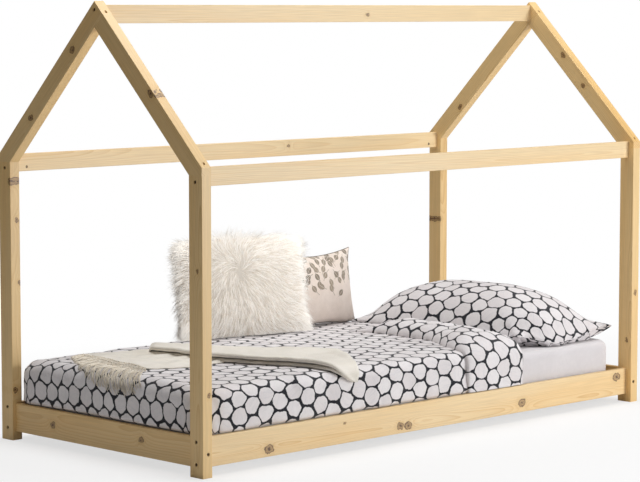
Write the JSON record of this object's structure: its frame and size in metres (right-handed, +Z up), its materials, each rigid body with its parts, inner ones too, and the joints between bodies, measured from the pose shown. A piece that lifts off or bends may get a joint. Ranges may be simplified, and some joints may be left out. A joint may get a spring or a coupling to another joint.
{
  "type": "house frame bed",
  "caption": "Low bed in bolted pine with a gabled open house frame over it, slatted base, mattress, honeycomb duvet and pillow, cushions and a fringed throw.",
  "frame": {"origin": "on the floor under the middle of the bed (centre of the bounding box's base)", "axes": "+X from the foot end to the head end, +Y from the front side to the back side, +Z up"},
  "size_m": [2.076, 0.98, 1.417],
  "materials": {
    "pine": "clear matt varnish over planed knotty pine",
    "pine_rough": "planed, untreated",
    "beech_dowel": "fluted beech, untreated",
    "zinc_steel": "bright zinc plate",
    "screw_steel": "zinc plate",
    "foam_cover": "knitted cover",
    "white_sheet": "white cotton jersey",
    "honeycomb_cotton": "white cotton printed with dark honeycomb lines",
    "long_pile": "white long-pile fur fabric",
    "leaf_print": "beige cotton with a grey-brown leaf print",
    "cream_wool": "soft cream woven wool"
  },
  "bodies": {
    "frame": {"post_foot_front": "pine", "post_foot_back": "pine", "post_head_front": "pine", "post_head_back": "pine", "rafter_foot_front": "pine", "rafter_foot_back": "pine", "rafter_head_front": "pine", "rafter_head_back": "pine", "ridge_beam": "pine", "eave_rail_front": "pine", "eave_rail_back": "pine", "side_rail_front": "pine", "side_rail_back": "pine", "foot_board": "pine", "head_board": "pine", "slat_batten_front": "pine_rough", "slat_batten_back": "pine_rough", "slat_01": "pine_rough", "slat_02": "pine_rough", "slat_03": "pine_rough", "slat_04": "pine_rough", "slat_05": "pine_rough", "slat_06": "pine_rough", "slat_07": "pine_rough", "slat_08": "pine_rough", "slat_09": "pine_rough", "slat_10": "pine_rough", "slat_11": "pine_rough", "slat_12": "pine_rough", "slat_13": "pine_rough", "slat_14": "pine_rough", "side_rail_bolts": "zinc_steel", "eave_bolts": "zinc_steel", "ridge_bolts": "zinc_steel", "end_board_bolts": "zinc_steel", "side_rail_barrel_nuts": "zinc_steel", "eave_barrel_nuts": "zinc_steel", "ridge_barrel_nuts": "zinc_steel", "end_board_barrel_nuts": "zinc_steel", "eave_dowels": "beech_dowel", "ridge_dowels": "beech_dowel", "end_board_dowels": "beech_dowel", "rafter_dowels": "beech_dowel", "eave_screws": "screw_steel", "apex_screws": "screw_steel", "batten_screws": "screw_steel", "slat_screws": "screw_steel"},
    "mattress": {"mattress": "foam_cover", "fitted_sheet": "white_sheet"},
    "duvet": {"duvet": "honeycomb_cotton"},
    "pillow": {"pillow": "honeycomb_cotton"},
    "throw": {"throw": "cream_wool", "throw_fringe": "cream_wool"},
    "fur_cushion": {"fur_cushion": "long_pile"},
    "leaf_cushion": {"leaf_cushion": "leaf_print"}
  },
  "joints": [
    {"name": "mattress_lift", "type": "slide", "parent": "frame", "child": "mattress", "axis": [0, 0, 1], "range_m": [0, 0.2]},
    {"name": "duvet_lift", "type": "slide", "parent": "mattress", "child": "duvet", "axis": [0, 0, 1], "range_m": [0, 0.15]},
    {"name": "pillow_lift", "type": "slide", "parent": "mattress", "child": "pillow", "axis": [0, 0, 1], "range_m": [0, 0.25]},
    {"name": "throw_lift", "type": "slide", "parent": "duvet", "child": "throw", "axis": [0, 0, 1], "range_m": [0, 0.2]},
    {"name": "fur_cushion_lift", "type": "slide", "parent": "duvet", "child": "fur_cushion", "axis": [0, 0, 1], "range_m": [0, 0.2]},
    {"name": "leaf_cushion_lift", "type": "slide", "parent": "duvet", "child": "leaf_cushion", "axis": [0, 0, 1], "range_m": [0, 0.2]}
  ]
}
